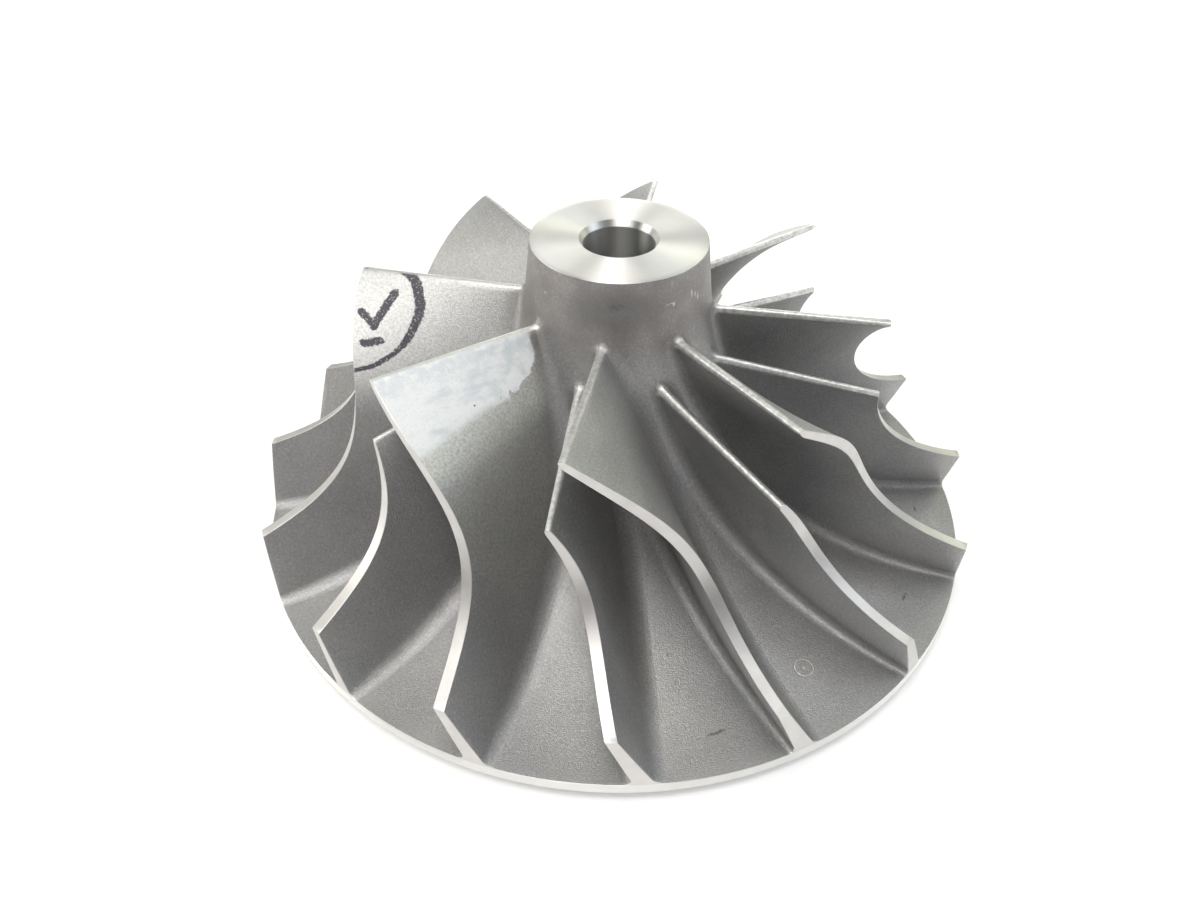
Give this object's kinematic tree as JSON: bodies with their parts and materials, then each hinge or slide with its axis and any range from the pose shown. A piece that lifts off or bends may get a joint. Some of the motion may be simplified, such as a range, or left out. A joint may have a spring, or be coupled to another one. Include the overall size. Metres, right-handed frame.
{
  "type": "turbocharger compressor wheel",
  "caption": "Cast and machined aluminium compressor wheel for a turbocharger, with long and short curved blades round a flared hub and a through bore for its shaft.",
  "frame": {"origin": "centre of the rear boss's lower face, on the shaft axis", "axes": "+Z runs along the shaft axis from the rear boss to the nose, and +X and +Y lie in the boss's lower face"},
  "size_m": [0.086, 0.086, 0.0386],
  "materials": {
    "hub_aluminium": "satin blasted casting, with turned bright nose face, bore and rim",
    "blade_aluminium": "satin blasted casting, with turned bright outer edges",
    "splitter_aluminium": "satin blasted casting, with turned bright outer edges"
  },
  "bodies": {
    "root": {"hub": "hub_aluminium", "full_blade_1": "blade_aluminium", "full_blade_2": "blade_aluminium", "full_blade_3": "blade_aluminium", "full_blade_4": "blade_aluminium", "full_blade_5": "blade_aluminium", "full_blade_6": "blade_aluminium", "full_blade_7": "blade_aluminium", "full_blade_8": "blade_aluminium", "splitter_blade_1": "splitter_aluminium", "splitter_blade_2": "splitter_aluminium", "splitter_blade_3": "splitter_aluminium", "splitter_blade_4": "splitter_aluminium", "splitter_blade_5": "splitter_aluminium", "splitter_blade_6": "splitter_aluminium", "splitter_blade_7": "splitter_aluminium", "splitter_blade_8": "splitter_aluminium"}
  },
  "joints": []
}
